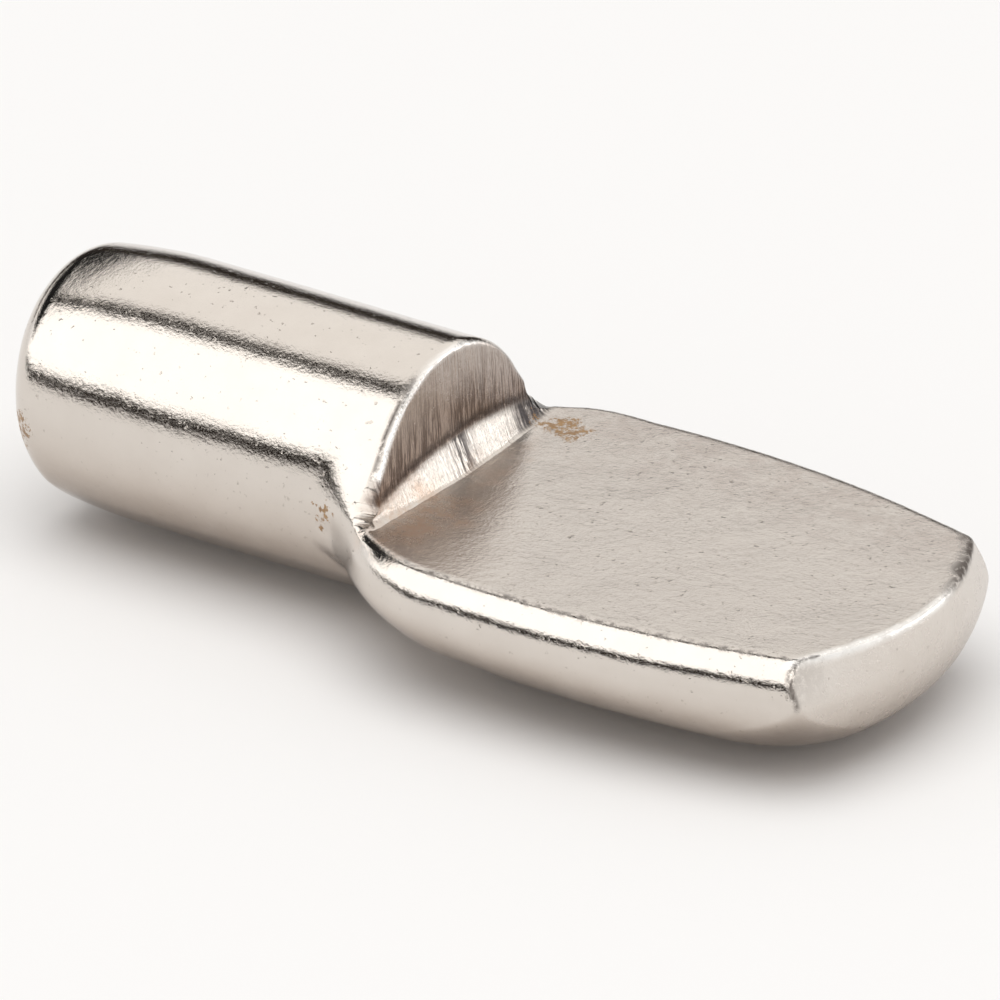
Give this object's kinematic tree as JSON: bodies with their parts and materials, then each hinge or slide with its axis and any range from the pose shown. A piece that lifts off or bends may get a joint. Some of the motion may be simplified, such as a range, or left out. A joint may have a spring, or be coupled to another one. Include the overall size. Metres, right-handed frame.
{
  "type": "shelf support pin",
  "caption": "Spoon-pattern shelf support: a round plug for a drilled cabinet hole, pressed out into a flat rounded seat that carries the shelf.",
  "frame": {"origin": "on the plug's axis, where its straight wall ends and the spoon's flare starts to swell, which is as far as the plug goes into its hole", "axes": "+X along the plug's axis towards the spoon's tip, +Z the way the seat faces"},
  "size_m": [0.0235, 0.0102, 0.0065],
  "materials": {
    "nickel_plate": "bright nickel plate on cold formed steel, lightly pitted, with small rust stains"
  },
  "bodies": {
    "root": {"shelf_support_pin": "nickel_plate"}
  },
  "joints": []
}
